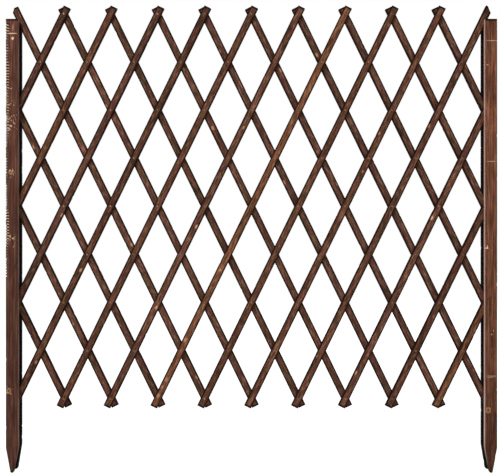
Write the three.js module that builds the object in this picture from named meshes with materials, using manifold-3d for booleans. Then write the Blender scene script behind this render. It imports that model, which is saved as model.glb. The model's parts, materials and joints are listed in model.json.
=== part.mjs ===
// Expandable garden fence: a scissor lattice of crossed wooden slats between two posts.
// Each post is a pair of pointed stakes, one in front of the lattice and one behind it.
// Millimetres, +Z up, the front faces -Y. The origin is midway between the posts, level with their tips.

import * as THREE from "three";
import { mergeVertices } from "three/addons/utils/BufferGeometryUtils.js";
import Module from "manifold-3d";

const wasm = await Module();
wasm.setup();

// Lattice: columns and rows count half pitches, and two slats cross where column plus row is even
const COLUMNS = 20;
const ROWS = 8;
const NODE_SPACING = 142.5;
const REST_ANGLE_DEGREES = 26;
const SLAT_WIDTH = 20;
const SLAT_THICKNESS = 7.5;
const SLAT_EDGE = 0.6;
const END_ABOVE = 20.5;
const END_BELOW = 24.5;

// The two slat ends that stand alone above the posts have one corner clipped off
const LEFT_CLIP_ACROSS = 9;
const LEFT_CLIP_ALONG = 10.5;
const RIGHT_CLIP_ACROSS = 15;
const RIGHT_CLIP_ALONG = 13;

// Clearances
const LAYER_GAP = 0.4;
const TURNING_GAP = 0.3;
const FITTING_GAP = 0.3;

// Rivets, one at each crossing: the head sits on the front slat and the tail is spread behind the rear slat
const RIVET_RADIUS = 1.4;
const RIVET_HEAD_RADIUS = 2.8;
const RIVET_TAIL_RADIUS = 2.5;
const RIVET_HEAD_HEIGHT = 0.7;
const RIVET_ROOT = 1;
const RIVET_CROWN_SHARE = 0.55;
const RIVET_SIDES = 6;

// Stakes: the top row of the lattice stands a little above them, and the rear ones are a little narrower
const TOP_ROW_ABOVE_STAKES = 17.3;
const STAKE_WIDTH = 32;
const REAR_STAKE_WIDTH = 29;
const STAKE_THICKNESS = 12;
const STAKE_EDGE = 1.2;
const STAKE_POINT_LENGTH = 66;
const STAKE_TIP_RADIUS = 4.5;
const STAKE_TIP_SEGMENTS = 6;

// Pivot pins, which hang the middle row of the lattice in the posts
const PIN_INSET = 7.5;
const PIN_RADIUS = 2.2;
const PIN_HEAD_RADIUS = 4;
const PIN_HEAD_HEIGHT = 2;
const PIN_DEPTH_IN_FRONT_STAKE = 8;
const PIN_SIDES = 16;

// Foot spacers, which hold the two stakes of a post apart just above their points; the clearance is the
// room that is left above them when the lattice closes and is at its tallest
const SPACER_HEIGHT = 36;
const SPACER_CLEARANCE = 8.5;
const SPACER_INSET = 5;
const SPACER_EDGE = 0.8;

// Foot nails, driven from behind through the rear stake and the spacer
const NAIL_RADIUS = 1.6;
const NAIL_HEAD_RADIUS = 3.4;
const NAIL_HEAD_HEIGHT = 1.4;
const NAIL_DEPTH_IN_FRONT_STAKE = 8;
const NAIL_POINT_LENGTH = 3;
const NAIL_SIDES = 12;
const NAIL_COUNT = 2;

// Cutting overrun, and the distance within which two vertices are one
const OVERRUN = 1;
const WELD_DISTANCE = 0.001;

// Sizes that follow
const REST_ANGLE = THREE.MathUtils.degToRad(REST_ANGLE_DEGREES);
const HALF_PITCH = NODE_SPACING * Math.sin(REST_ANGLE);
const ROW_HEIGHT = NODE_SPACING * Math.cos(REST_ANGLE);
const SPACER_BOTTOM = STAKE_POINT_LENGTH;
const SPACER_TOP = SPACER_BOTTOM + SPACER_HEIGHT;
const PIN_HEIGHT = SPACER_TOP + SPACER_CLEARANCE + END_BELOW + (ROWS / 2) * NODE_SPACING;
const STAKE_LENGTH = PIN_HEIGHT + (ROWS / 2) * ROW_HEIGHT - TOP_ROW_ABOVE_STAKES;
const SLAT_DEPTH = LAYER_GAP / 2 + SLAT_THICKNESS / 2;
const SLAT_FACE_DEPTH = LAYER_GAP / 2 + SLAT_THICKNESS;
const STAKE_INNER_DEPTH = SLAT_FACE_DEPTH + TURNING_GAP + RIVET_HEAD_HEIGHT + TURNING_GAP;
const STAKE_DEPTH = STAKE_INNER_DEPTH + STAKE_THICKNESS / 2;
const STAKE_OUTER_DEPTH = STAKE_INNER_DEPTH + STAKE_THICKNESS;
const SPACER_THICKNESS = 2 * (STAKE_INNER_DEPTH - FITTING_GAP);
const SPACER_WIDTH = STAKE_WIDTH - 2 * SPACER_INSET;

// Materials
const frontSlatWood = new THREE.MeshStandardMaterial({ color: 0x64453a, roughness: 0.72, metalness: 0 });
const rearSlatWood = new THREE.MeshStandardMaterial({ color: 0x553a31, roughness: 0.75, metalness: 0 });
const stakeWood = new THREE.MeshStandardMaterial({ color: 0x5e3d33, roughness: 0.7, metalness: 0 });
const spacerWood = new THREE.MeshStandardMaterial({ color: 0x3a2620, roughness: 0.8, metalness: 0 });
const nailSteel = new THREE.MeshStandardMaterial({ color: 0x6d6660, roughness: 0.5, metalness: 0.9 });

// Solids: a closed geometry becomes a solid that can be joined and cut, and back
function solidOf(geometry) {
  const bare = new THREE.BufferGeometry();
  bare.setAttribute("position", geometry.getAttribute("position"));
  bare.setIndex(geometry.index);
  const merged = mergeVertices(bare, WELD_DISTANCE);
  const index = merged.index.array;
  const kept = [];
  for (let i = 0; i < index.length; i += 3) {
    const [a, b, c] = [index[i], index[i + 1], index[i + 2]];
    if (a !== b && b !== c && c !== a) kept.push(a, b, c);
  }
  return new wasm.Manifold(
    new wasm.Mesh({
      numProp: 3,
      vertProperties: merged.getAttribute("position").array,
      triVerts: new Uint32Array(kept),
    }),
  );
}

function geometryOf(solid) {
  const mesh = solid.getMesh();
  const indexed = new THREE.BufferGeometry();
  indexed.setAttribute("position", new THREE.BufferAttribute(mesh.vertProperties, mesh.numProp));
  indexed.setIndex(new THREE.BufferAttribute(mesh.triVerts, 1));
  const geometry = indexed.toNonIndexed();
  geometry.computeVertexNormals();
  return geometry;
}

// A flat board: its outline stands in X and Z, its thickness is centred on Y, and every edge is eased
function board(outline, thickness, edge) {
  const geometry = new THREE.ExtrudeGeometry(outline, {
    depth: thickness - 2 * edge,
    bevelThickness: edge,
    bevelSize: edge,
    bevelOffset: -edge,
    bevelSegments: 1,
    curveSegments: STAKE_TIP_SEGMENTS,
  });
  geometry.rotateX(Math.PI / 2);
  geometry.translate(0, thickness / 2 - edge, 0);
  return solidOf(geometry);
}

// A turned piece along Y, from pairs of radius and depth that start and end on the axis
function turned(pairs, sides) {
  const profile = pairs.map(([radius, depth]) => new THREE.Vector2(radius, depth));
  return solidOf(new THREE.LatheGeometry(profile, sides));
}

// A straight round hole along Y, widened so that its flats stay clear of a pin of the given radius
function hole(radius, gap, from, to, sides) {
  const wide = (radius + gap) / Math.cos(Math.PI / sides);
  return turned([[0, from], [wide, from], [wide, to], [0, to]], sides);
}

// Lattice nodes: column 0 is at the left post, row 0 is the top row
function nodeX(column) {
  return (column - COLUMNS / 2) * HALF_PITCH;
}

function nodeZ(row) {
  return PIN_HEIGHT + (ROWS / 2 - row) * ROW_HEIGHT;
}

// A front slat keeps column plus row, a rear slat keeps column minus row
const FIRST_FRONT_SUM = 2;
const LAST_FRONT_SUM = COLUMNS + ROWS - 2;
const FIRST_REAR_DIFFERENCE = 2 - ROWS;
const LAST_REAR_DIFFERENCE = COLUMNS - 2;

function slatsCross(column, row) {
  const sum = column + row;
  const difference = column - row;
  const inFront = sum >= FIRST_FRONT_SUM && sum <= LAST_FRONT_SUM;
  const behind = difference >= FIRST_REAR_DIFFERENCE && difference <= LAST_REAR_DIFFERENCE;
  return inFront && behind;
}

function heldByPost(column, row) {
  return row === ROWS / 2 && (column === 0 || column === COLUMNS);
}

// Outline of a slat, with its lowest node at the origin and its length along Z; a clipped end loses the
// upper corner on the given side, -1 or 1
function slatOutline(spans, clippedSide) {
  const half = SLAT_WIDTH / 2;
  const top = spans * NODE_SPACING + END_ABOVE;
  const outline = new THREE.Shape();
  outline.moveTo(-half, -END_BELOW);
  outline.lineTo(half, -END_BELOW);
  if (clippedSide > 0) {
    outline.lineTo(half, top - RIGHT_CLIP_ALONG);
    outline.lineTo(half - RIGHT_CLIP_ACROSS, top);
  } else {
    outline.lineTo(half, top);
  }
  if (clippedSide < 0) {
    outline.lineTo(LEFT_CLIP_ACROSS - half, top);
    outline.lineTo(-half, top - LEFT_CLIP_ALONG);
  } else {
    outline.lineTo(-half, top);
  }
  outline.closePath();
  return outline;
}

// A rivet, with its slat's mid-plane at depth 0: its head is rooted in the front slat, its shank passes
// the rear slat and its tail is spread just behind it
function rivet() {
  const face = -SLAT_THICKNESS / 2;
  const tail = SLAT_THICKNESS / 2 + LAYER_GAP + SLAT_THICKNESS + TURNING_GAP;
  const profile = [
    [0, face - RIVET_HEAD_HEIGHT],
    [RIVET_HEAD_RADIUS * RIVET_CROWN_SHARE, face - RIVET_HEAD_HEIGHT],
    [RIVET_HEAD_RADIUS, face],
    [RIVET_HEAD_RADIUS, face + RIVET_ROOT],
    [RIVET_RADIUS, face + RIVET_ROOT],
    [RIVET_RADIUS, tail],
    [RIVET_TAIL_RADIUS, tail],
    [RIVET_TAIL_RADIUS * RIVET_CROWN_SHARE, tail + RIVET_HEAD_HEIGHT],
    [0, tail + RIVET_HEAD_HEIGHT],
  ];
  return turned(profile, RIVET_SIDES);
}

// A hole right through one slat, for a rivet or for a pivot pin
function slatHole(column, row) {
  const end = SLAT_THICKNESS / 2 + OVERRUN;
  if (heldByPost(column, row)) return hole(PIN_RADIUS, TURNING_GAP, -end, end, PIN_SIDES);
  return hole(RIVET_RADIUS, TURNING_GAP, -end, end, RIVET_SIDES);
}

function placedSlat(name, solid, material, lean, column, row, depth) {
  const mesh = new THREE.Mesh(geometryOf(solid), material);
  mesh.name = name;
  mesh.rotation.y = lean;
  mesh.position.set(nodeX(column), depth, nodeZ(row));
  return mesh;
}

// A front slat leans to the right and carries the rivets of its crossings
function frontSlat(sum, name) {
  const lowest = Math.min(ROWS, sum);
  const highest = Math.max(0, sum - COLUMNS);
  const standsAlone = !slatsCross(sum - highest, highest);
  const outline = slatOutline(lowest - highest, standsAlone ? 1 : 0);
  let solid = board(outline, SLAT_THICKNESS, SLAT_EDGE);
  for (let row = lowest; row >= highest; row--) {
    const column = sum - row;
    if (!slatsCross(column, row)) continue;
    const along = (lowest - row) * NODE_SPACING;
    if (heldByPost(column, row)) {
      solid = solid.subtract(slatHole(column, row).translate(0, 0, along));
    } else {
      solid = solid.add(rivet().translate(0, 0, along));
    }
  }
  return placedSlat(name, solid, frontSlatWood, REST_ANGLE, sum - lowest, lowest, -SLAT_DEPTH);
}

// A rear slat leans to the left and turns on the rivets through its holes
function rearSlat(difference, name) {
  const lowest = Math.min(ROWS, COLUMNS - difference);
  const highest = Math.max(0, -difference);
  const standsAlone = !slatsCross(difference + highest, highest);
  const outline = slatOutline(lowest - highest, standsAlone ? -1 : 0);
  let solid = board(outline, SLAT_THICKNESS, SLAT_EDGE);
  for (let row = lowest; row >= highest; row--) {
    const column = difference + row;
    if (!slatsCross(column, row)) continue;
    const along = (lowest - row) * NODE_SPACING;
    solid = solid.subtract(slatHole(column, row).translate(0, 0, along));
  }
  return placedSlat(name, solid, rearSlatWood, -REST_ANGLE, difference + lowest, lowest, SLAT_DEPTH);
}

function lattice() {
  const group = new THREE.Group();
  let count = 0;
  for (let sum = FIRST_FRONT_SUM; sum <= LAST_FRONT_SUM; sum += 2) {
    count += 1;
    group.add(frontSlat(sum, "front_slat_" + String(count).padStart(2, "0")));
  }
  count = 0;
  for (let difference = FIRST_REAR_DIFFERENCE; difference <= LAST_REAR_DIFFERENCE; difference += 2) {
    count += 1;
    group.add(rearSlat(difference, "rear_slat_" + String(count).padStart(2, "0")));
  }
  return group;
}

// Outline of a stake, centred on X with its tip at the origin: the sides of the point run into a round tip
function stakeOutline(width) {
  const half = width / 2;
  const rise = STAKE_POINT_LENGTH - STAKE_TIP_RADIUS;
  const end = Math.atan2(rise, half) - Math.acos(STAKE_TIP_RADIUS / Math.hypot(half, rise));
  const outline = new THREE.Shape();
  outline.absarc(0, STAKE_TIP_RADIUS, STAKE_TIP_RADIUS, Math.PI - end, end, false);
  outline.lineTo(half, STAKE_POINT_LENGTH);
  outline.lineTo(half, STAKE_LENGTH);
  outline.lineTo(-half, STAKE_LENGTH);
  outline.lineTo(-half, STAKE_POINT_LENGTH);
  outline.closePath();
  return outline;
}

// A pin or nail along Y: its head is flush with the back of the post and its end is in the front stake
function fastener(size, gap) {
  const back = STAKE_OUTER_DEPTH + (gap > 0 ? OVERRUN : 0);
  const neck = STAKE_OUTER_DEPTH - size.headHeight - gap;
  const end = -STAKE_INNER_DEPTH - size.depthInFront - gap;
  const widen = gap > 0 ? 1 / Math.cos(Math.PI / size.sides) : 1;
  const shank = (size.radius + gap) * widen;
  const head = (size.headRadius + gap) * widen;
  const profile = [
    [0, end],
    [shank, end + size.pointLength],
    [shank, neck],
    [head, neck],
    [head, back],
    [0, back],
  ];
  return turned(profile, size.sides);
}

const pinSize = {
  radius: PIN_RADIUS,
  headRadius: PIN_HEAD_RADIUS,
  headHeight: PIN_HEAD_HEIGHT,
  depthInFront: PIN_DEPTH_IN_FRONT_STAKE,
  pointLength: 0,
  sides: PIN_SIDES,
};

const nailSize = {
  radius: NAIL_RADIUS,
  headRadius: NAIL_HEAD_RADIUS,
  headHeight: NAIL_HEAD_HEIGHT,
  depthInFront: NAIL_DEPTH_IN_FRONT_STAKE,
  pointLength: NAIL_POINT_LENGTH,
  sides: NAIL_SIDES,
};

// Places of the foot nails, from the middle of the spacer: they share its height and width evenly
function nailPlaces() {
  const places = [];
  for (let k = 1; k <= NAIL_COUNT; k++) {
    const share = k / (NAIL_COUNT + 1) - 1 / 2;
    places.push([share * SPACER_WIDTH, (SPACER_BOTTOM + SPACER_TOP) / 2 + share * SPACER_HEIGHT]);
  }
  return places;
}

// A post: side is -1 for the left one and 1 for the right one
function post(side, prefix) {
  const group = new THREE.Group();
  const pinX = side * (COLUMNS / 2) * HALF_PITCH;
  const middle = pinX + side * (STAKE_WIDTH / 2 - PIN_INSET);
  const pinFromMiddle = pinX - middle;

  function add(name, solid, material, x, y, z) {
    const mesh = new THREE.Mesh(geometryOf(solid), material);
    mesh.name = prefix + name;
    mesh.position.set(x, y, z);
    group.add(mesh);
  }

  let cuts = fastener(pinSize, FITTING_GAP).translate(pinFromMiddle, 0, PIN_HEIGHT);
  for (const [x, z] of nailPlaces()) cuts = cuts.add(fastener(nailSize, FITTING_GAP).translate(x, 0, z));

  const front = board(stakeOutline(STAKE_WIDTH), STAKE_THICKNESS, STAKE_EDGE);
  const rear = board(stakeOutline(REAR_STAKE_WIDTH), STAKE_THICKNESS, STAKE_EDGE);
  add("front_stake", front.subtract(cuts.translate(0, STAKE_DEPTH, 0)), stakeWood, middle, -STAKE_DEPTH, 0);
  add("rear_stake", rear.subtract(cuts.translate(0, -STAKE_DEPTH, 0)), stakeWood, middle, STAKE_DEPTH, 0);

  const block = new THREE.Shape();
  block.moveTo(-SPACER_WIDTH / 2, SPACER_BOTTOM);
  block.lineTo(SPACER_WIDTH / 2, SPACER_BOTTOM);
  block.lineTo(SPACER_WIDTH / 2, SPACER_TOP);
  block.lineTo(-SPACER_WIDTH / 2, SPACER_TOP);
  block.closePath();
  add("foot_spacer", board(block, SPACER_THICKNESS, SPACER_EDGE).subtract(cuts), spacerWood, middle, 0, 0);

  add("pivot_pin", fastener(pinSize, 0), nailSteel, pinX, 0, PIN_HEIGHT);
  nailPlaces().forEach(([x, z], k) => {
    add("foot_nail_" + (k + 1), fastener(nailSize, 0), nailSteel, middle + x, 0, z);
  });
  return group;
}

const fence = new THREE.Group();
fence.add(post(-1, "left_"));
fence.add(lattice());
fence.add(post(1, "right_"));

export default fence;
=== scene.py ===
# Expandable garden fence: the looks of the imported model, in metres, +Z up, the front faces -Y.
import json
import math
import random
from collections import namedtuple

import bpy
from mathutils import Matrix, Vector, noise


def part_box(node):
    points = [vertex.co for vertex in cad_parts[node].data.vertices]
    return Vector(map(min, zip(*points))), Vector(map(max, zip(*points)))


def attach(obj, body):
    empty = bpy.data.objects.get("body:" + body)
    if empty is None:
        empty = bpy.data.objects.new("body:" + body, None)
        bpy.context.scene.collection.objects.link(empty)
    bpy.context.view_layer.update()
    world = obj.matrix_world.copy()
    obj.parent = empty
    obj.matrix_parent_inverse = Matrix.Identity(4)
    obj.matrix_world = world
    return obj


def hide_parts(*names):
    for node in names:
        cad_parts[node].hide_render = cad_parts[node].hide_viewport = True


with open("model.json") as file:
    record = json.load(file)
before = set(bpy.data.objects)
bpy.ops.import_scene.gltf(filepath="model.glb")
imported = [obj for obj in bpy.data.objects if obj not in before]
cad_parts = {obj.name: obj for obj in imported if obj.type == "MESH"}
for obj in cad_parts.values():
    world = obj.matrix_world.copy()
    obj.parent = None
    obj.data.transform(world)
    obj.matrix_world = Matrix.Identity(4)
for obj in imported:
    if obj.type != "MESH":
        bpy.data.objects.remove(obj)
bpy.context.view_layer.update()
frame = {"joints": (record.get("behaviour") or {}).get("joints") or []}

MM = 0.001

# Camera: level, square to the fence and at half its height, so that the posts stay parallel, as they are in
# the photograph
VIEW_WIDTH = 1.336
VIEW_CENTRE_X = -0.004
VIEW_CENTRE_Z = 0.622
CAMERA_DISTANCE = 1.8
SENSOR_WIDTH = 36
NEAREST_SEEN = 10 * MM

# Lattice: columns and rows count half pitches, and two slats cross where column plus row is even. That sum is
# the same all along a front slat, and column minus row is the same all along a rear slat
COLUMNS = 20
ROWS = 8
REST_ANGLE = math.radians(26)
SLAT_WIDTH = 20 * MM
END_ABOVE = 20.5 * MM
END_BELOW = 24.5 * MM
LEFT_CLIP_ACROSS, LEFT_CLIP_ALONG = 9 * MM, 10.5 * MM
RIGHT_CLIP_ACROSS, RIGHT_CLIP_ALONG = 15 * MM, 13 * MM
FIRST_FRONT_SUM, LAST_FRONT_SUM = 2, 26
FIRST_REAR_DIFFERENCE, LAST_REAR_DIFFERENCE = -6, 18

# Stakes, whose front and back faces lie the skin's depth inside those of the solids
POINT_LENGTH = 66 * MM
TIP_RADIUS = 4.5 * MM
STAKE_SKIN = 0.25 * MM
SAW_STEP = 7.5 * MM
SAWN_FROM, SAWN_TO = 520 * MM, 1190 * MM

# Sizes that the frame gives
PIVOTS = {joint["name"]: Vector(joint["pos_m"]) for joint in frame["joints"]}
LEFT_PIN = PIVOTS["fence_extend"]
RIGHT_PIN = PIVOTS["turn_right_post"]
HALF_PITCH = (RIGHT_PIN.x - LEFT_PIN.x) / COLUMNS
ROW_HEIGHT = HALF_PITCH / math.tan(REST_ANGLE)
SPACING = HALF_PITCH / math.sin(REST_ANGLE)
REAR_SLAT_LOW, REAR_SLAT_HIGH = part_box("rear_slat_05")
SLAT_THICKNESS = REAR_SLAT_HIGH.y - REAR_SLAT_LOW.y
SLAT_DEPTH = (REAR_SLAT_HIGH.y + REAR_SLAT_LOW.y) / 2
STAKE_LOW, STAKE_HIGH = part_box("left_front_stake")
STAKE_HALF = (STAKE_HIGH.x - STAKE_LOW.x) / 2
STAKE_THICKNESS = STAKE_HIGH.y - STAKE_LOW.y
STAKE_FRONT = -STAKE_THICKNESS / 2


def place_camera():
    data = bpy.data.cameras.new("camera")
    data.sensor_width = SENSOR_WIDTH
    data.lens = SENSOR_WIDTH * CAMERA_DISTANCE / VIEW_WIDTH
    data.clip_start = NEAREST_SEEN
    camera = bpy.data.objects.new("camera", data)
    camera.location = (VIEW_CENTRE_X, -CAMERA_DISTANCE, VIEW_CENTRE_Z)
    camera.rotation_euler = (math.radians(90), 0, 0)
    bpy.context.collection.objects.link(camera)
    bpy.context.scene.camera = camera


place_camera()


# Node trees
def node(tree, kind, inputs=None, **settings):
    made = tree.nodes.new(kind)
    for key, value in settings.items():
        setattr(made, key, value)
    for key, value in (inputs or {}).items():
        if isinstance(value, bpy.types.NodeSocket):
            tree.links.new(value, made.inputs[key])
        else:
            made.inputs[key].default_value = value
    return made


def calc(tree, operation, *values, clamp=False):
    inputs = dict(enumerate(values))
    return node(tree, "ShaderNodeMath", inputs, operation=operation, use_clamp=clamp).outputs[0]


def product(tree, value, *factors):
    for factor in factors:
        value = calc(tree, "MULTIPLY", value, factor)
    return value


def about_zero(tree, value, width):
    """A noise from 0 to 1 as one of this width about 0."""
    return product(tree, calc(tree, "SUBTRACT", value, 0.5), width)


def ramp(tree, value, low, high, out_low=0.0, out_high=1.0):
    inputs = {"Value": value, "From Min": low, "From Max": high, "To Min": out_low, "To Max": out_high}
    return node(tree, "ShaderNodeMapRange", inputs, interpolation_type="SMOOTHSTEP").outputs[0]


def mix(tree, factor, first, second, way="MIX"):
    inputs = {0: factor, 6: first, 7: second}
    return node(tree, "ShaderNodeMix", inputs, data_type="RGBA", blend_type=way).outputs[2]


def shaded(tree, colour, share):
    return node(tree, "ShaderNodeVectorMath", {0: colour, "Scale": share}, operation="SCALE").outputs[0]


def attribute(tree, name):
    return node(tree, "ShaderNodeAttribute", attribute_name=name).outputs["Fac"]


def stretched(tree, vector, scale, factors):
    inputs = {0: vector, 1: tuple(scale * factor for factor in factors)}
    return node(tree, "ShaderNodeVectorMath", inputs, operation="MULTIPLY").outputs[0]


def noise_of(tree, vector, scale, factors=(1.0, 1.0, 1.0), detail=3.0, rough=0.55, twist=0.0):
    """A noise from 0 to 1. The larger its scale, the finer it is, in cells per metre."""
    inputs = {"Vector": stretched(tree, vector, scale, factors), "Scale": 1.0, "Detail": detail,
              "Roughness": rough, "Distortion": twist}
    return node(tree, "ShaderNodeTexNoise", inputs).outputs["Fac"]


def cells_of(tree, vector, size, factors):
    """Cells about this far apart. The distances from their points count in that size."""
    inputs = {"Vector": stretched(tree, vector, 1 / size, factors), "Scale": 1.0}
    return node(tree, "ShaderNodeTexVoronoi", inputs).outputs


def rare_cells(tree, vector, size, factors, share):
    """The distance from the point of a cell, and 1 in this share of the cells, 0 in the others."""
    cells = cells_of(tree, vector, size, factors)
    chance = node(tree, "ShaderNodeSeparateXYZ", {0: cells["Color"]}).outputs[0]
    return cells["Distance"], calc(tree, "LESS_THAN", chance, share)


def linear(colour):
    """A colour given as it looks on a screen, 0 to 255, as linear light."""
    def one(value):
        value /= 255
        return value / 12.92 if value <= 0.04045 else ((value + 0.055) / 1.055) ** 2.4
    red, green, blue = colour
    return one(red), one(green), one(blue), 1.0


def new_material(name):
    material = bpy.data.materials.new(name)
    material.use_nodes = True
    material.node_tree.nodes.clear()
    return material, material.node_tree


# How far one unit of a piece's seed moves its grain
SEED_SHIFT = (0.37, 0.73, 1.91)


def seeded_place(tree):
    """The piece's own coordinates, and the same moved by its seed, so that no two have the same grain."""
    place = node(tree, "ShaderNodeTexCoord").outputs["Object"]
    seed = attribute(tree, "seed")
    inputs = {axis: product(tree, seed, step) for axis, step in enumerate(SEED_SHIFT)}
    shift = node(tree, "ShaderNodeCombineXYZ", inputs).outputs[0]
    moved = node(tree, "ShaderNodeVectorMath", {0: place, 1: shift}, operation="ADD").outputs[0]
    return place, moved


# Wood: colours as they look on a screen, 0 to 255
# The next colour darkens edges, ends, knots and saw marks; on the narrow sides of boards it is painted shade
CHAR_AND_SHADE = (23, 7, 2)
# The next colour is smoke on a slat's top, and painted shade in the gap between a post's two boards
SMOKE_AND_GAP_SHADE = (6, 4, 4)
KNOT_PALE = (176, 128, 92)
RUBBED = (214, 176, 146)
CHIPPED = (206, 148, 112)

# What the coolest pieces multiply their colour by, and what tells a piece's coolness from its seed
COOL_TINT = (1.0, 1.06, 1.27, 1.0)
COOL_STEP = 7.3

# Noises, in cells per metre
FIBRE_SCALE = 1300
SPECKLE_SCALE = 520
THIN_STREAK_SCALE = 430
STREAK_SCALE = 210
VEIN_SCALE = 150
PATCH_SCALE = 120
CLOUD_SCALE = 22

# Growth rings, small knots and chips
PITH_BESIDE = (21 * MM, 33 * MM, 0.0)
KNOT_DISTANCE = 55 * MM
KNOT_SHARE = 0.3
KNOT_RAGGED = 1.5 * MM
KNOT_HEART, KNOT_HEART_END = 1.6 * MM, 2.8 * MM
KNOT_RING, KNOT_RING_END = 3 * MM, 5 * MM
CHIP_DISTANCE = 22 * MM
CHIP_SHARE = 0.2
CHIP_SIZE_SHARE, CHIP_END_SHARE = 0.1, 0.22

# Dark ends: full down to the first distance from the end and gone at the second
END_DARK, END_FADED = 4.6 * MM, 6.2 * MM
END_RAGGED = 3 * MM
RIM_RAGGED = 1.2 * MM

# Dark rim: full up to a distance from the edge, gone at another, and how strong it is. It is darker stain
# along the edges, and painted shade on the narrow sides
Rim = namedtuple("Rim", "full faded strength")
SLAT_RIM = Rim(2.8 * MM, 4.3 * MM, 0.97)
REAR_SLAT_RIM = Rim(3 * MM, 4.6 * MM, 0.97)
STAKE_RIM = Rim(0.4 * MM, 1.6 * MM, 0.6)

Palette = namedtuple("Palette", "deep brown red olive light")
Piece = namedtuple("Piece", "place moved fibres speckle clouds streaks thin_streaks patches veins rings")


def growth_rings(tree, moved, ring_scale):
    """Circles about a pith that lies beside the board, 0 to 1 from early to late wood."""
    inputs = {0: stretched(tree, moved, 1.0, (1.0, 1.0, 0.05)), 1: PITH_BESIDE}
    beside = node(tree, "ShaderNodeVectorMath", inputs, operation="ADD").outputs[0]
    inputs = {"Vector": beside, "Scale": ring_scale, "Distortion": 3.0, "Detail": 2.5,
              "Detail Scale": 0.35, "Detail Roughness": 0.6}
    return node(tree, "ShaderNodeTexWave", inputs, wave_type="RINGS", rings_direction="Z",
                wave_profile="SAW").outputs["Fac"]


def one_piece(tree, streak_length, ring_scale):
    """The coordinates and noises of a piece of wood. The noises are drawn out along the grain, which is Z."""
    place, moved = seeded_place(tree)
    along = (1.0, 1.0, streak_length)
    return Piece(
        place, moved,
        fibres=noise_of(tree, moved, FIBRE_SCALE, (1.0, 1.0, 0.035), detail=4, rough=0.65),
        speckle=noise_of(tree, moved, SPECKLE_SCALE, (1.0, 1.0, 0.55), rough=0.7),
        clouds=noise_of(tree, moved, CLOUD_SCALE, (1.0, 1.0, 0.4), detail=2),
        streaks=noise_of(tree, moved, STREAK_SCALE, along, detail=4, rough=0.62, twist=0.3),
        thin_streaks=noise_of(tree, moved, THIN_STREAK_SCALE, along, rough=0.6),
        patches=noise_of(tree, moved, PATCH_SCALE, (1.0, 1.0, 0.2), rough=0.6, twist=0.6),
        veins=noise_of(tree, moved, VEIN_SCALE, (1.0, 1.0, 0.13), rough=0.6, twist=0.6),
        rings=growth_rings(tree, moved, ring_scale))


def grain_colour(tree, piece, palette, grain, rings_show):
    """Two browns in streaks, with patches, veins, growth rings, thin streaks and fibres."""
    deep, light = linear(palette.deep), linear(palette.light)
    colour = mix(tree, ramp(tree, piece.streaks, 0.4, 0.55, 1 - grain, 1.0), deep, linear(palette.brown))
    colour = mix(tree, ramp(tree, piece.patches, 0.44, 0.58, 0.0, 0.85), colour, linear(palette.red))
    colour = mix(tree, ramp(tree, piece.veins, 0.53, 0.64, 0.0, 0.8), colour, linear(palette.olive))
    colour = mix(tree, product(tree, ramp(tree, piece.rings, 0.5, 1.0), rings_show), colour, deep)
    colour = mix(tree, ramp(tree, piece.thin_streaks, 0.52, 0.66, 0.0, grain), colour, light)
    colour = mix(tree, ramp(tree, piece.thin_streaks, 0.47, 0.35, 0.0, grain), colour, deep)
    return mix(tree, ramp(tree, piece.fibres, 0.55, 0.8, 0.0, 0.4), colour, light)


def small_knots(tree, piece):
    """Round knots, few and far between, as a dark heart and a pale ring about it."""
    distance, keep = rare_cells(tree, piece.moved, KNOT_DISTANCE, (1.0, 1.0, 0.6), KNOT_SHARE)
    ragged = about_zero(tree, piece.speckle, KNOT_RAGGED)
    far = calc(tree, "ADD", product(tree, distance, KNOT_DISTANCE), ragged)
    heart = product(tree, ramp(tree, far, KNOT_HEART, KNOT_HEART_END, 0.85, 0.0), keep)
    ring = product(tree, ramp(tree, far, KNOT_RING, KNOT_RING_END, 0.5, 0.0), keep)
    return heart, ring


def small_chips(tree, moved):
    """Short places along the grain, few and far between, where the stain has come off."""
    distance, keep = rare_cells(tree, moved, CHIP_DISTANCE, (1.0, 0.0, 0.55), CHIP_SHARE)
    return product(tree, ramp(tree, distance, CHIP_END_SHARE, CHIP_SIZE_SHARE), keep)


def worn_colour(tree, piece, colour, palette, chipped):
    """Adds knots, chips, and scuffs: specks and short scratches that show the wood under the stain."""
    scuffs = product(tree, ramp(tree, piece.speckle, 0.6, 0.7), ramp(tree, piece.clouds, 0.46, 0.62), 0.75)
    colour = mix(tree, scuffs, colour, linear(palette.light))
    heart, ring = small_knots(tree, piece)
    colour = mix(tree, ring, colour, linear(palette.light))
    colour = mix(tree, heart, colour, linear(palette.deep))
    if chipped:
        chips = product(tree, small_chips(tree, piece.moved), chipped)
        colour = mix(tree, chips, colour, linear(CHIPPED))
    return colour


def own_colour(tree, piece, colour, cool_share):
    """Each piece has its own hue and depth of stain."""
    cool = calc(tree, "FRACT", product(tree, attribute(tree, "seed"), COOL_STEP))
    colour = mix(tree, product(tree, cool, cool_share), colour, COOL_TINT, way="MULTIPLY")
    cloudy = ramp(tree, piece.clouds, 0.3, 0.7, 0.83, 1.24)
    return shaded(tree, colour, product(tree, attribute(tree, "tone"), cloudy))


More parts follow.
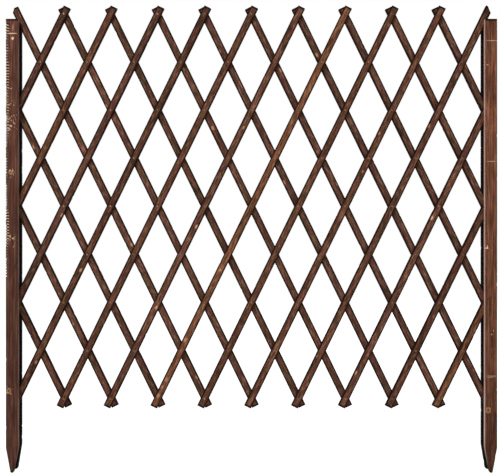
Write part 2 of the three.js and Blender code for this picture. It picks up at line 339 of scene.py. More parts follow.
def dark_borders(tree, piece, colour, rim):
    """Edges and ends, but not pale sides, are darker up to a ragged border; on the narrow sides that dark is
    painted shade. Smoke on a slat's top and painted shade in the gap of a post lie over all of it.
    """
    from_edge = calc(tree, "ADD", attribute(tree, "rim"), about_zero(tree, piece.streaks, RIM_RAGGED))
    from_end = calc(tree, "ADD", attribute(tree, "end"), about_zero(tree, piece.thin_streaks, END_RAGGED))
    charred_and_shaded = calc(tree, "MAXIMUM", ramp(tree, from_edge, rim.full, rim.faded, rim.strength, 0.0),
                   ramp(tree, from_end, END_DARK, END_FADED, 1.0, 0.0))
    stained = calc(tree, "SUBTRACT", 1.0, attribute(tree, "bare"), clamp=True)
    charred_and_shaded = product(tree, charred_and_shaded, stained, ramp(tree, piece.fibres, 0.3, 0.8, 0.98, 0.88))
    colour = mix(tree, charred_and_shaded, colour, linear(CHAR_AND_SHADE))
    return mix(tree, product(tree, attribute(tree, "smoke_and_gap_shade"), 0.95), colour, linear(SMOKE_AND_GAP_SHADE))


# Pale narrow sides: partly unstained sawn wood, partly a painted highlight where a side faces the key lamp
def pale_sides(tree, piece, colour, bare_colour):
    pale = product(tree, attribute(tree, "bare"), ramp(tree, piece.streaks, 0.35, 0.6, 0.95, 0.7))
    return mix(tree, pale, colour, linear(bare_colour))


def wood(name, palette, streak_length=0.12, ring_scale=110, rings_show=0.3, rim=SLAT_RIM, grain=0.55,
         cool_share=0.0, chipped=0.0, bare_colour=None, details=None):
    """Stained sawn softwood with the grain along the piece's own Z.

    The mesh says how far a point is from the long edges (rim) and from the ends (end), where a narrow side
    is left pale, partly as a painted highlight, and where the wood is nearly black: smoke on a slat's top,
    and painted shade in the gap between a post's two boards. grain, rings_show and chipped are how strongly
    streaks, rings and chips show, cool_share is how far hues differ, and details adds the marks of one board.
    """
    material, tree = new_material(name)
    piece = one_piece(tree, streak_length, ring_scale)
    colour = grain_colour(tree, piece, palette, grain, rings_show)
    colour = worn_colour(tree, piece, colour, palette, chipped)
    if details:
        colour = details(tree, piece, colour)
    colour = own_colour(tree, piece, colour, cool_share)
    colour = dark_borders(tree, piece, colour, rim)
    if bare_colour:
        colour = pale_sides(tree, piece, colour, bare_colour)

    height = calc(tree, "ADD", product(tree, piece.rings, 0.35), piece.fibres)
    bump = node(tree, "ShaderNodeBump", {"Strength": 0.5, "Distance": 0.35 * MM, "Height": height})
    inputs = {"Base Color": colour, "Roughness": ramp(tree, piece.streaks, 0.3, 0.75, 0.68, 0.86),
              "Specular IOR Level": 0.07, "Normal": bump.outputs[0]}
    shader = node(tree, "ShaderNodeBsdfPrincipled", inputs)
    node(tree, "ShaderNodeOutputMaterial", {"Surface": shader.outputs[0]})
    return material


# Marks of one stake. Knots go right through it, and the others only into its front face
KNOT_THROUGH = 40 * MM
MARK_DEPTH = 4 * MM
SPECK_DISTANCE = 6 * MM


def spot(tree, piece, at, reach):
    """How far a point is from a place of the piece, where 1 is the ragged border of an ellipsoid."""
    away = node(tree, "ShaderNodeVectorMath", {0: piece.place, 1: at}, operation="SUBTRACT").outputs[0]
    away = stretched(tree, away, 1.0, tuple(1 / half for half in reach))
    far = node(tree, "ShaderNodeVectorMath", {0: away}, operation="LENGTH").outputs["Value"]
    return calc(tree, "ADD", far, about_zero(tree, piece.speckle, 1.5))


def front_spot(tree, piece, x, z, half_across, half_along):
    return spot(tree, piece, (x, STAKE_FRONT, z), (half_across, MARK_DEPTH, half_along))


def knotted(tree, piece, colour, x, z, radius):
    """A knot through the board: a dark heart, and a pale ring with a dark line round it."""
    far = spot(tree, piece, (x, 0.0, z), (radius, KNOT_THROUGH, radius * 1.25))
    colour = mix(tree, ramp(tree, far, 0.7, 1.2, 0.6, 0.0), colour, linear(KNOT_PALE))
    line = product(tree, ramp(tree, far, 0.78, 0.92), ramp(tree, far, 1.2, 1.0), 0.6)
    colour = mix(tree, line, colour, linear(CHAR_AND_SHADE))
    return mix(tree, ramp(tree, far, 0.3, 0.5, 0.8, 0.0), colour, linear(CHAR_AND_SHADE))


def rubbed(tree, piece, colour, x, z, half_across, half_along, strength):
    """A place where the stain is rubbed off."""
    far = front_spot(tree, piece, x, z, half_across, half_along)
    return mix(tree, ramp(tree, far, 0.6, 1.1, strength, 0.0), colour, linear(RUBBED))


def speckled(tree, piece, colour, x, z, half_across, half_along, strength):
    """A place where specks of unstained wood show."""
    far = front_spot(tree, piece, x, z, half_across, half_along)
    distance = cells_of(tree, piece.moved, SPECK_DISTANCE, (1.0, 0.0, 0.8))["Distance"]
    specks = product(tree, ramp(tree, far, 1.2, 0.6), ramp(tree, distance, 0.42, 0.2), strength)
    return mix(tree, specks, colour, linear(RUBBED))


# Saw marks on the front face: their slant, how far the wood's clouds shift them, how far they run in, in most
# places and at the top of the sawn stretch, and the lengths over which they fade
TICK_SLANT_SHARE = 0.2
TICK_SHIFT = 5.0
TICK_UNEVEN_SCALE = 240
SHORT_TICK, LONG_TICK, TOP_TICK = 4.5 * MM, 9 * MM, 11 * MM
TOP_TICKS_BELOW, TOP_TICKS_FULL, TOP_TICKS_PALE = 34 * MM, 30 * MM, 24 * MM
TICK_END_FADE = 1.2 * MM
SAWN_FADE_IN, SAWN_FADE_OUT = 20 * MM, 2 * MM
TICK_DEPTH, TICK_DEPTH_END = 0.6 * MM, 1.6 * MM
TICK_BORDER, TICK_BORDER_END = 2.4 * MM, 4.2 * MM
TICK_DULL, TICK_CLEAR = 1.6 * MM, 3.2 * MM


def ticked(tree, piece, colour, side, low, high):
    """Short saw marks on the front face that run in from one long edge, in groups, between two heights.

    Dark and pale ones take turns, over a dark border along the edge. They are longest and palest at the top.
    """
    x, y, z = node(tree, "ShaderNodeSeparateXYZ", {0: piece.place}).outputs
    from_edge = calc(tree, "SUBTRACT", STAKE_HALF, product(tree, x, side))
    slanted = calc(tree, "ADD", z, product(tree, from_edge, TICK_SLANT_SHARE))
    turn = calc(tree, "ADD", product(tree, slanted, 2 * math.pi / SAW_STEP),
                product(tree, piece.clouds, TICK_SHIFT))
    wave = calc(tree, "SINE", turn)

    usual = ramp(tree, piece.clouds, 0.48, 0.6, SHORT_TICK, LONG_TICK)
    uneven = noise_of(tree, piece.place, TICK_UNEVEN_SCALE, (0.0, 0.0, 1.0), detail=0)
    near_top = ramp(tree, z, high - TOP_TICKS_BELOW, high - TOP_TICKS_FULL, 0.0, TOP_TICK)
    longer = product(tree, near_top, ramp(tree, uneven, 0.3, 0.7, 0.45, 1.0))
    inside = calc(tree, "SUBTRACT", calc(tree, "MAXIMUM", usual, longer), from_edge)

    sawn = product(tree, ramp(tree, z, low, low + SAWN_FADE_IN), ramp(tree, z, high, high - SAWN_FADE_OUT),
                   ramp(tree, y, STAKE_FRONT + TICK_DEPTH_END, STAKE_FRONT + TICK_DEPTH))
    shown = product(tree, ramp(tree, inside, 0.0, TICK_END_FADE), sawn)
    border = product(tree, ramp(tree, from_edge, TICK_BORDER_END, TICK_BORDER, 0.0, 0.8), sawn)
    dark = calc(tree, "MAXIMUM", product(tree, ramp(tree, wave, 0.5, 0.1), shown), border)
    colour = mix(tree, dark, colour, linear(CHAR_AND_SHADE))
    paleness = product(tree, ramp(tree, z, high - TOP_TICKS_BELOW, high - TOP_TICKS_PALE, 0.7, 0.95),
                       ramp(tree, from_edge, TICK_DULL, TICK_CLEAR, 0.4, 1.0))
    pale = product(tree, ramp(tree, wave, 0.3, 0.7), shown, paleness)
    return mix(tree, pale, colour, linear(RUBBED))


def toned_by_height(tree, piece, colour, levels):
    """The colour is multiplied by a share that changes with height, lower near the ground: levels are pairs
    of a height in millimetres and that share there, from the ground up."""
    z = node(tree, "ShaderNodeSeparateXYZ", {0: piece.place}).outputs[2]
    share = levels[0][1]
    for (low, before), (high, after) in zip(levels, levels[1:]):
        share = calc(tree, "ADD", share, ramp(tree, z, low * MM, high * MM, 0.0, after - before))
    return shaded(tree, colour, share)


def stake_details(levels, sawn_side=0, knots=(), specks=(), rubs=()):
    """The marks of one stake, in millimetres across from its middle and up from the ground.

    A knot has a radius as well, and specks and rubs have half a width, half a height and a strength.
    sawn_side is -1 or 1 where one long edge has saw marks.
    """
    def details(tree, piece, colour):
        colour = toned_by_height(tree, piece, colour, levels)
        if sawn_side:
            colour = ticked(tree, piece, colour, sawn_side, SAWN_FROM, SAWN_TO)
        for x, z, radius in knots:
            colour = knotted(tree, piece, colour, x * MM, z * MM, radius * MM)
        for marked, marks in ((speckled, specks), (rubbed, rubs)):
            for x, z, across, along, strength in marks:
                colour = marked(tree, piece, colour, x * MM, z * MM, across * MM, along * MM, strength)
        return colour

    return details


LEFT_STAKE_DETAILS = stake_details(
    levels=((94, 0.78), (228, 0.8), (442, 0.96), (655, 1.05), (869, 1.05), (1083, 1.08)),
    sawn_side=-1,
    knots=((-4, 795, 6), (-8, 217, 7)),
    specks=((-4, 795, 11, 16, 0.7), (0, 912, 13, 20, 0.6), (0, 950, 15, 40, 0.35), (-5, 1018, 5, 7, 0.7),
            (0, 612, 14, 18, 0.45), (-8, 217, 10, 14, 0.6)),
    rubs=((-1, 1161, 17, 1.5, 0.85), (2, 1148, 4.0, 4.2, 1.0), (3, 1177, 1.2, 11.0, 0.45),
          (3, 620, 3.5, 2.0, 0.8), (-4, 625, 2.2, 3.5, 0.7)))
RIGHT_STAKE_DETAILS = stake_details(
    levels=((94, 0.46), (228, 0.88), (442, 1.2), (655, 1.04), (869, 1.39), (1083, 1.04)),
    knots=((-8, 166, 8),),
    rubs=((1, 1142, 16, 1.1, 0.6), (1, 823, 16, 1.2, 0.6), (1, 256, 14, 1.1, 0.65), (-2, 252, 9, 1.0, 0.5),
          (-10, 1078, 3.5, 1.4, 0.6), (-12, 594, 5.5, 2.2, 0.95), (-10, 597, 1.6, 6.0, 0.8),
          (1, 366, 2.4, 1.8, 0.8), (6, 376, 1.8, 2.4, 0.5)))

# Noises of the steel, in cells per metre
STEEL_SPOT_SCALE = 600
STEEL_BRUSH_SCALE = 2500


def steel(name, clean, stained):
    """Dull steel that the stain has partly covered."""
    material, tree = new_material(name)
    _, moved = seeded_place(tree)
    spots = noise_of(tree, moved, STEEL_SPOT_SCALE)
    brushed = noise_of(tree, moved, STEEL_BRUSH_SCALE, (1.0, 0.2, 1.0), detail=2)
    cover = product(tree, ramp(tree, spots, 0.35, 0.6), 0.9)
    colour = mix(tree, cover, linear(clean), linear(stained))
    colour = shaded(tree, colour, attribute(tree, "tone"))
    bump = node(tree, "ShaderNodeBump", {"Strength": 0.3, "Distance": 0.1 * MM, "Height": brushed})
    inputs = {"Base Color": colour, "Roughness": ramp(tree, spots, 0.3, 0.7, 0.38, 0.7),
              "Metallic": ramp(tree, spots, 0.35, 0.6, 0.9, 0.25), "Normal": bump.outputs[0]}
    shader = node(tree, "ShaderNodeBsdfPrincipled", inputs)
    node(tree, "ShaderNodeOutputMaterial", {"Surface": shader.outputs[0]})
    return material


# Meshes
SHARP_ANGLE = math.radians(40)


def add_object(name, points, faces, layers, material, matrix):
    """An object whose point attributes are given as lists, in its own coordinates."""
    mesh = bpy.data.meshes.new(name)
    mesh.from_pydata(points, [], faces)
    for layer, values in layers.items():
        mesh.attributes.new(layer, "FLOAT", "POINT").data.foreach_set("value", values)
    mesh.materials.append(material)
    mesh.shade_smooth()
    mesh.set_sharp_from_angle(angle=SHARP_ANGLE)
    made = bpy.data.objects.new(name, mesh)
    made.matrix_world = matrix
    bpy.context.collection.objects.link(made)
    return made


def section():
    """The outline of a board with rounded corners, going round it once.

    Across the board, each point has a share of the way to a corner's centre and how many radii it lies beyond
    that, and then the same two through the board.
    """
    slant = math.sqrt(0.5)
    across = (-0.66, -0.33, 0.0, 0.33, 0.66)
    points = []

    def corner(x, y, arc):
        points.extend((x, beyond_x, y, beyond_y) for beyond_x, beyond_y in arc)

    corner(-1, -1, ((-1, 0), (-slant, -slant), (0, -1)))
    points.extend((x, 0, -1, -1) for x in across)
    corner(1, -1, ((0, -1), (slant, -slant), (1, 0)))
    points.append((1, 1, 0, 0))
    corner(1, 1, ((1, 0), (slant, slant), (0, 1)))
    points.extend((-x, 0, 1, 1) for x in across)
    corner(-1, 1, ((0, 1), (-slant, slant), (-1, 0)))
    points.append((-1, -1, 0, 0))
    return points


# Boards: their rounding and rings of points, the wear of their long edges, and nicks and saw marks in those.
# A random size has a least and a most
SECTION = section()
EDGE_RADIUS = 0.9 * MM
LEAST_HALF_WIDTH = 0.4 * MM
STATION_STEP = 14 * MM
WEAR = 0.1 * MM
WEAR_SCALE = 45
WEAR_BETWEEN_SIDES = 7
NICK_DEPTHS = (0.3 * MM, 0.9 * MM)
NICK_REACHES = (2.5 * MM, 7 * MM)
SAW_DEPTHS = (1.6 * MM, 3.4 * MM)
SAW_REACH = 1.9 * MM
SAW_GROUPS = (4, 14)
SAW_STEP_SHARES = (0.94, 1.06)
SAW_GAP_STEPS = (0, 4)

# What the rim attribute says on a narrow side, so that the whole side counts as dark rim: painted shade
# there, over darker stain
NARROW_SIDE_RIM = -6 * MM

# A smoked top is darkest down to the first distance from the end, and clean from the second on. Pale sides,
# partly a painted highlight, are not pale up to the first height, and palest from the second on
SMOKED_FROM, SMOKED_TO = 20 * MM, 48 * MM
PALE_FROM, PALE_TO = 15 * MM, 100 * MM

# A dent in a long edge: its height, the side that it is on, its depth and half its length
Nick = namedtuple("Nick", "z side depth reach")

# The edges of a board: at(z) gives the left and the right one at a height, and they bend at the knees
Sides = namedtuple("Sides", "at knees")


def share_between(value, low, high):
    """0 up to low, 1 from high on, and rising evenly in between."""
    return min(1.0, max(0.0, (value - low) / (high - low)))


def random_nick(low, high, rng):
    return Nick(rng.uniform(low, high), rng.choice((-1, 1)), rng.uniform(*NICK_DEPTHS),
                rng.uniform(*NICK_REACHES))


def saw_nicks(side, low, high, rng):
    """Saw marks in one long edge, in groups."""
    nicks, z = [], low
    while z < high:
        for _ in range(rng.randint(*SAW_GROUPS)):
            if z < high:
                nicks.append(Nick(z, side, rng.uniform(*SAW_DEPTHS), SAW_REACH))
            z += SAW_STEP * rng.uniform(*SAW_STEP_SHARES)
        z += rng.uniform(*SAW_GAP_STEPS) * SAW_STEP
    return nicks


def board_stations(low, high, nicks, knees):
    """Heights of a board's rings of points, and how much smaller each ring is, which rounds the ends."""
    steps = round((high - low) / STATION_STEP)
    heights = [low + (high - low) * k / steps for k in range(steps + 1)] + knees
    for nick in nicks:
        heights += [nick.z + nick.reach * share for share in (-1, -0.5, 0, 0.5, 1)]
    inner = sorted(z for z in heights if low + 2 * EDGE_RADIUS < z < high - 2 * EDGE_RADIUS)
    ends = ((0.0, EDGE_RADIUS), (0.3 * EDGE_RADIUS, 0.3 * EDGE_RADIUS), (EDGE_RADIUS, 0.0))
    bottom = [(low + up, inset) for up, inset in ends]
    top = [(high - down, inset) for down, inset in reversed(ends)]
    return bottom + [(z, 0.0) for z in inner] + top


def worn_edges(sides, z, nicks, drift):
    """The left and right edges at a height, which wander and are nicked, always inwards."""
    edges = []
    for side, edge in zip((-1, 1), sides.at(z)):
        worn = WEAR * (1 + noise.noise(Vector((drift + side * WEAR_BETWEEN_SIDES, 0, z * WEAR_SCALE))))
        for nick in nicks:
            if nick.side == side and abs(z - nick.z) < nick.reach:
                worn += nick.depth * (1 - ((z - nick.z) / nick.reach) ** 2)
        edges.append(edge - side * worn)
    return edges


def ring_faces(rings, count):
    """The faces between rings of so many points, with the first and the last ring closed."""
    faces = []
    for ring in range(rings - 1):
        for i in range(count):
            a, b = ring * count + i, ring * count + (i + 1) % count
            faces.append((a, b, b + count, a + count))
    faces.append(tuple(reversed(range(count))))
    faces.append(tuple(range((rings - 1) * count, rings * count)))
    return faces


def sawn_board(name, low, high, sides, thickness, material, matrix, rng, tone, nick_count, skew=0.0,
               bare_side=0, gap_shade_side=0, soot_front=False, smoked_top=0.0, more_nicks=()):
    """A board along Z from low to high.

    The pale side and the shaded side are -1, 0 or 1: the narrow side that is pale, partly as a painted
    highlight, or black as painted shade of the gap between a post's boards, the pale one less so near the
    ground. The shaded front blackens the front face as painted shade, smoked_top is how much the upper end is
    darkened, and skew is how much it slants.
    """
    drift = rng.uniform(0, 100)
    nicks = [random_nick(low, high, rng) for _ in range(nick_count)]
    nicks += more_nicks
    seed = rng.uniform(1, 60)
    stations = board_stations(low, high, nicks, sides.knees)
    points = []
    layers = {"rim": [], "end": [], "bare": [], "smoke_and_gap_shade": []}
    for z, inset in stations:
        left, right = worn_edges(sides, z, nicks, drift)
        middle, half = (left + right) / 2, max((right - left) / 2 - inset, LEAST_HALF_WIDTH)
        through = thickness / 2 - inset
        radius = min(EDGE_RADIUS, half * 0.5)
        smoked = smoked_top * share_between(z, high - SMOKED_TO, high - SMOKED_FROM)
        pale = share_between(z, PALE_FROM, PALE_TO)
        for x, beyond_x, y, beyond_y in SECTION:
            at = middle + x * (half - radius) + beyond_x * radius
            deep = y * (through - radius) + beyond_y * radius
            slant = skew * at if z > (low + high) / 2 else 0.0
            points.append((at, deep, z + slant))
            on_side = abs(beyond_x) == 1
            layers["rim"].append(NARROW_SIDE_RIM if on_side else max(0.0, half - abs(at - middle)))
            layers["end"].append(max(0.0, min(z - low, high - z) - inset))
            layers["bare"].append(pale if on_side and bare_side * beyond_x > 0 else 0.0)
            black = (on_side and gap_shade_side * beyond_x > 0) or (soot_front and beyond_y < 0)
            layers["smoke_and_gap_shade"].append(1.0 if black else smoked)
    layers["seed"] = [seed] * len(points)
    layers["tone"] = [tone] * len(points)
    return add_object(name, points, ring_faces(len(stations), len(SECTION)), layers, material, matrix)


def slat_sides(top, clipped):
    """clipped is -1, 0 or 1: the side on which the upper corner is cut off."""
    half = SLAT_WIDTH / 2
    across = LEFT_CLIP_ACROSS if clipped < 0 else RIGHT_CLIP_ACROSS
    along = LEFT_CLIP_ALONG if clipped < 0 else RIGHT_CLIP_ALONG
    start = top - along

    def at(z):
        cut = max(0.0, z - start) / along * across
        return (-half + (cut if clipped < 0 else 0.0), half - (cut if clipped > 0 else 0.0))

    return Sides(at, [start, start + along / 2] if clipped else [])


def stake_sides(half):
    """The point of a stake: two straight sides that run into a round tip."""
    rise = POINT_LENGTH - TIP_RADIUS
    touch = math.atan2(rise, half) - math.acos(TIP_RADIUS / math.hypot(half, rise))
    touch_x, touch_z = TIP_RADIUS * math.cos(touch), TIP_RADIUS + TIP_RADIUS * math.sin(touch)

    def at(z):
        if z <= touch_z:
            reach = math.sqrt(max(0.0, TIP_RADIUS ** 2 - (TIP_RADIUS - z) ** 2))
        elif z < POINT_LENGTH:
            reach = touch_x + (half - touch_x) * (z - touch_z) / (POINT_LENGTH - touch_z)
        else:
            reach = half
        return -reach, reach

    return Sides(at, [touch_z * share for share in (0.08, 0.2, 0.4, 0.6, 0.8, 1.0)] + [POINT_LENGTH])


def turned(profile, sides):
    """Points and faces of a piece turned about Y, from pairs of radius and depth that start and end on it."""
    points = [(0.0, profile[0][1], 0.0)]
    for radius, depth in profile[1:-1]:
        points += [(radius * math.cos(turn), depth, radius * math.sin(turn))
                   for turn in (2 * math.pi * k / sides for k in range(sides))]
    points.append((0.0, profile[-1][1], 0.0))
    faces = []
    rings = len(profile) - 2
    for i in range(sides):
        j = (i + 1) % sides
        faces.append((0, 1 + i, 1 + j))
        for k in range(rings - 1):
            a, b = 1 + k * sides, 1 + (k + 1) * sides
            faces.append((a + i, b + i, b + j, a + j))
        last = 1 + (rings - 1) * sides
        faces.append((last + i, len(points) - 1, last + j))
    return points, faces


# Rivets: the head reaches a little into the slat, where it narrows to the shank
RIVET_RADIUS = 1.4 * MM
RIVET_HEAD_RADIUS = 2.8 * MM
RIVET_TAIL_RADIUS = 2.4 * MM
RIVET_HEAD_HEIGHT = 0.7 * MM
HEAD_SUNK, NECK_SUNK = 0.2 * MM, 0.4 * MM
CROWN_TURNS = [math.radians(degrees) for degrees in (75, 50, 25, 0)]
RIVET_SIDES = 18
RIVET_TONES = (0.7, 0.85, 1.0, 1.3)


def rivet_profile():
    """From the head in front to the tail behind, with the front slat's middle at depth 0."""
    face = SLAT_THICKNESS / 2
    back = face + 2 * SLAT_DEPTH
    head = [(RIVET_HEAD_RADIUS * math.cos(turn), -face - RIVET_HEAD_HEIGHT * math.sin(turn))
            for turn in CROWN_TURNS]
    shank = [(RIVET_HEAD_RADIUS, -face + HEAD_SUNK), (RIVET_RADIUS, -face + NECK_SUNK), (RIVET_RADIUS, back)]
    tail = [(RIVET_TAIL_RADIUS * math.cos(turn), back + RIVET_HEAD_HEIGHT * math.sin(turn))
            for turn in reversed(CROWN_TURNS)]
    return [(0.0, -face - RIVET_HEAD_HEIGHT)] + head + shank + tail + [(0.0, back + RIVET_HEAD_HEIGHT)]


# Lattice: two slats in front are of warmer wood, and some are stained more or less than the rest. The others
# draw their tone between a least and a most
WARM_SLATS = ("front_slat_07", "front_slat_13")
SLAT_TONES = {"front_slat_01": 0.72, "front_slat_04": 0.8, "front_slat_07": 1.05, "front_slat_12": 0.85,
              "front_slat_13": 0.97, "rear_slat_08": 1.06, "rear_slat_10": 1.0, "rear_slat_12": 1.2,
              "rear_slat_13": 1.16}
OTHER_TONES = (0.9, 1.2)
SLAT_NICKS = 6
TOP_SKEWS = (-0.03, 0.03)
SMOKED_TOP = 0.6


def node_place(column, row):
    return Vector(((column - COLUMNS / 2) * HALF_PITCH, 0.0, LEFT_PIN.z + (ROWS / 2 - row) * ROW_HEIGHT))


def slats_cross(column, row):
    in_front = FIRST_FRONT_SUM <= column + row <= LAST_FRONT_SUM
    behind = FIRST_REAR_DIFFERENCE <= column - row <= LAST_REAR_DIFFERENCE
    return in_front and behind


def held_by_post(column, row):
    return row == ROWS // 2 and column in (0, COLUMNS)


def slat_tone(name):
    return SLAT_TONES.get(name, random.Random(name + " tone").uniform(*OTHER_TONES))


def add_slat(name, column, row, top_row, lean, material):
    """A slat from its lowest node up to its top row.

    lean is 1 for a front slat, which leans to the right, and -1 for a rear slat. A slat whose top crosses no
    other has one corner cut off there, and the one in front is smoked there.
    """
    top = (row - top_row) * SPACING + END_ABOVE
    clipped = 0 if slats_cross(column + lean * (row - top_row), top_row) else lean
    matrix = Matrix.Translation(node_place(column, row) + Vector((0, -lean * SLAT_DEPTH, 0)))
    matrix @= Matrix.Rotation(lean * REST_ANGLE, 4, "Y")
    rng = random.Random(name)
    skew = rng.uniform(*TOP_SKEWS)
    slat = sawn_board(name + "_wood", -END_BELOW, top, slat_sides(top, clipped), SLAT_THICKNESS, material,
                      matrix, rng, slat_tone(name), SLAT_NICKS, skew=skew,
                      smoked_top=SMOKED_TOP if clipped > 0 else 0.0)
    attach(slat, name)
    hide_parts(name)
    return matrix


def add_rivets(name, matrix, lowest, crossings, material):
    """The rivets of one front slat, in one mesh."""
    rng = random.Random(name + " rivets")
    shape, shape_faces = turned(rivet_profile(), RIVET_SIDES)
    points, faces, tones, seeds = [], [], [], []
    for row in crossings:
        base = len(points)
        shift = (lowest - row) * SPACING
        tone, seed = rng.choice(RIVET_TONES), rng.uniform(0, 40)
        points += [(x, y, z + shift) for x, y, z in shape]
        faces += [tuple(base + i for i in face) for face in shape_faces]
        tones += [tone] * len(shape)
        seeds += [seed] * len(shape)
    rivets = add_object(name + "_rivets", points, faces, {"tone": tones, "seed": seeds}, material, matrix)
    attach(rivets, name)
    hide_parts(name)


def build_lattice(front_wood, warm_wood, rear_wood, rivet_steel):
    for count, total in enumerate(range(FIRST_FRONT_SUM, LAST_FRONT_SUM + 1, 2), 1):
        name = f"front_slat_{count:02d}"
        lowest, highest = min(ROWS, total), max(0, total - COLUMNS)
        material = warm_wood if name in WARM_SLATS else front_wood
        matrix = add_slat(name, total - lowest, lowest, highest, 1, material)
        crossings = [row for row in range(highest, lowest + 1)
                     if slats_cross(total - row, row) and not held_by_post(total - row, row)]
        add_rivets(name, matrix, lowest, crossings, rivet_steel)
    for count, difference in enumerate(range(FIRST_REAR_DIFFERENCE, LAST_REAR_DIFFERENCE + 1, 2), 1):
        name = f"rear_slat_{count:02d}"
        lowest, highest = min(ROWS, COLUMNS - difference), max(0, -difference)
        add_slat(name, difference + lowest, lowest, highest, -1, rear_wood)


# Posts
STAKE_NICKS = 9
SPACER_NICKS = 2
SPACER_TONE = 0.8
PIN_RADIUS, PIN_HEAD_RADIUS = 2.2 * MM, 4 * MM
NAIL_RADIUS, NAIL_HEAD_RADIUS = 1.6 * MM, 3.4 * MM
FIXING_HEAD_HEIGHT = 1.2 * MM
FIXING_CROWN = 0.5 * MM
FIXING_RIM = 0.35 * MM
FIXING_SIDES = 28


def add_stake(side, prefix, place, material):
    """place is front or rear; side is -1 for the left post and 1 for the right one."""
    name = f"{prefix}_{place}_stake"
    low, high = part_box(name)
    middle = (low + high) / 2
    rear = place == "rear"
    sawn = side < 0 and not rear
    saw_marks = saw_nicks(side, SAWN_FROM, SAWN_TO, random.Random(name + " saw")) if sawn else []
    # A rear stake's front face and inner side are painted shade of the gap between the boards
    stake = sawn_board(name + "_wood", 0.0, high.z, stake_sides((high.x - low.x) / 2),
                       high.y - low.y - 2 * STAKE_SKIN, material,
                       Matrix.Translation((middle.x, middle.y, 0)), random.Random(name), 1.0, STAKE_NICKS,
                       bare_side=0 if rear else -side, gap_shade_side=-side if rear else 0, soot_front=rear,
                       more_nicks=saw_marks)
    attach(stake, prefix + "_post")
    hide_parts(name)


def add_spacer(prefix, material):
    name = prefix + "_foot_spacer"
    low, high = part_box(name)
    half, tall = (high.x - low.x) / 2, (high.z - low.z) / 2
    spacer = sawn_board(name + "_wood", -tall, tall, Sides(lambda z: (-half, half), []), high.y - low.y,
                        material, Matrix.Translation((low + high) / 2), random.Random(name), SPACER_TONE,
                        SPACER_NICKS)
    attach(spacer, prefix + "_post")
    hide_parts(name)


def add_fixing(name, body, radius, head_radius, material):
    """A pin or nail with a crowned head behind the rear stake."""
    low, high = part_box(name)
    neck = high.y - FIXING_HEAD_HEIGHT
    profile = [(0.0, low.y), (radius * 0.8, low.y), (radius, low.y + radius), (radius, neck),
               (head_radius * 0.96, neck), (head_radius, high.y - FIXING_RIM), (head_radius * 0.93, high.y),
               (head_radius * 0.6, high.y + FIXING_CROWN * 0.75), (0.0, high.y + FIXING_CROWN)]
    shape, faces = turned(profile, FIXING_SIDES)
    middle = (low + high) / 2
    layers = {"tone": [1.0] * len(shape), "seed": [random.Random(name).uniform(0, 40)] * len(shape)}
    made = add_object(name + "_turned", shape, faces, layers, material,
                      Matrix.Translation((middle.x, 0, middle.z)))
    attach(made, body)
    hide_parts(name)


def build_post(side, prefix, stake_wood, spacer_wood, fixing_steel):
    add_stake(side, prefix, "front", stake_wood)
    add_stake(side, prefix, "rear", stake_wood)
    add_spacer(prefix, spacer_wood)
    body = prefix + "_post"
    add_fixing(prefix + "_pivot_pin", body, PIN_RADIUS, PIN_HEAD_RADIUS, fixing_steel)
    for k in (1, 2):
        add_fixing(f"{prefix}_foot_nail_{k}", body, NAIL_RADIUS, NAIL_HEAD_RADIUS, fixing_steel)


# Materials, in colours as they look on a screen: deep, brown, red, olive and light
STAKE_GRAIN = {"streak_length": 0.03, "ring_scale": 80, "rim": STAKE_RIM}
slat_wood = wood(
    "slat_wood", Palette((30, 16, 9), (83, 53, 36), (97, 55, 42), (84, 61, 37), (156, 109, 82)),
    cool_share=0.8, chipped=0.8)
orange_wood = wood(
    "orange_slat_wood", Palette((50, 28, 17), (106, 68, 45), (114, 66, 45), (104, 73, 46), (162, 116, 86)),
    grain=0.65, chipped=0.5)
rear_slat_wood = wood(
    "rear_slat_wood", Palette((31, 17, 10), (82, 54, 39), (94, 55, 44), (82, 61, 40), (148, 107, 83)),
    rim=REAR_SLAT_RIM, cool_share=0.45, chipped=0.6)
# Each front stake's pale inner side is partly a painted highlight: far brighter on the right stake, whose
# inner side faces the key lamp
left_wood = wood(
    "left_stake_wood", Palette((54, 31, 24), (84, 51, 40), (96, 57, 45), (84, 57, 44), (122, 84, 70)),
    rings_show=0.6, bare_colour=(126, 96, 86), details=LEFT_STAKE_DETAILS, **STAKE_GRAIN)
right_wood = wood(
    "right_stake_wood", Palette((48, 26, 15), (98, 60, 42), (113, 65, 48), (99, 67, 45), (152, 104, 82)),
    rings_show=0.65, bare_colour=(210, 176, 164), details=RIGHT_STAKE_DETAILS, **STAKE_GRAIN)
dark_wood = wood(
    "spacer_wood", Palette((30, 18, 13), (54, 35, 27), (60, 36, 28), (54, 40, 31), (88, 64, 52)))
rivet_steel = steel("rivet_steel", (150, 106, 84), (92, 60, 45))
fixing_steel = steel("fixing_steel", (170, 164, 156), (112, 92, 78))

build_lattice(slat_wood, orange_wood, rear_slat_wood, rivet_steel)
build_post(-1, "left", left_wood, dark_wood, fixing_steel)
build_post(1, "right", right_wood, dark_wood, fixing_steel)

# Floor, light and background
FLOOR_HALF = 8.0
FLOOR_CLOUD_SCALE = 1.5
SOFT_LIGHT = 0.3


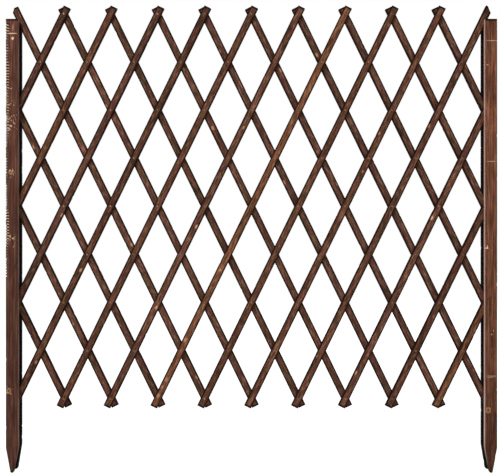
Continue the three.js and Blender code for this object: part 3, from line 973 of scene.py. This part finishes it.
def add_floor():
    mesh = bpy.data.meshes.new("floor")
    corners = [(x * FLOOR_HALF, y * FLOOR_HALF, 0) for x, y in ((-1, -1), (1, -1), (1, 1), (-1, 1))]
    mesh.from_pydata(corners, [], [(0, 1, 2, 3)])
    material, tree = new_material("floor_paint")
    place = node(tree, "ShaderNodeTexCoord").outputs["Object"]
    cloud = noise_of(tree, place, FLOOR_CLOUD_SCALE)
    colour = mix(tree, ramp(tree, cloud, 0.3, 0.7), (0.5, 0.5, 0.5, 1), (0.53, 0.53, 0.53, 1))
    shader = node(tree, "ShaderNodeBsdfPrincipled",
                  {"Base Color": colour, "Roughness": 0.9, "Emission Color": (1, 1, 1, 1),
                   "Emission Strength": 0.86})
    node(tree, "ShaderNodeOutputMaterial", {"Surface": shader.outputs[0]})
    mesh.materials.append(material)
    floor = bpy.data.objects.new("floor", mesh)
    bpy.context.collection.objects.link(floor)


def add_light(name, place, target, size, power):
    data = bpy.data.lights.new(name, "AREA")
    data.shape = "DISK"
    data.size = size
    data.energy = power
    light = bpy.data.objects.new(name, data)
    light.location = place
    light.rotation_euler = (Vector(target) - Vector(place)).to_track_quat("-Z", "Y").to_euler()
    bpy.context.collection.objects.link(light)


def set_background():
    """White where it is seen, and a dimmer soft light from all round."""
    world = bpy.data.worlds.new("studio")
    bpy.context.scene.world = world
    world.use_nodes = True
    tree = world.node_tree
    tree.nodes.clear()
    seen = node(tree, "ShaderNodeLightPath").outputs["Is Camera Ray"]
    inputs = {"Value": seen, "To Min": SOFT_LIGHT, "To Max": 1.0}
    strength = node(tree, "ShaderNodeMapRange", inputs).outputs[0]
    light = node(tree, "ShaderNodeBackground", {"Color": (1, 1, 1, 1), "Strength": strength})
    node(tree, "ShaderNodeOutputWorld", {"Surface": light.outputs[0]})
    bpy.context.scene.view_settings.view_transform = "Standard"


add_floor()
add_light("key", place=(-1.9, -3.4, 3.0), target=(0, 0, 0.65), size=0.9, power=95)
add_light("fill", place=(2.2, 3.6, 2.6), target=(0, 0, 0.6), size=1.4, power=55)
set_background()
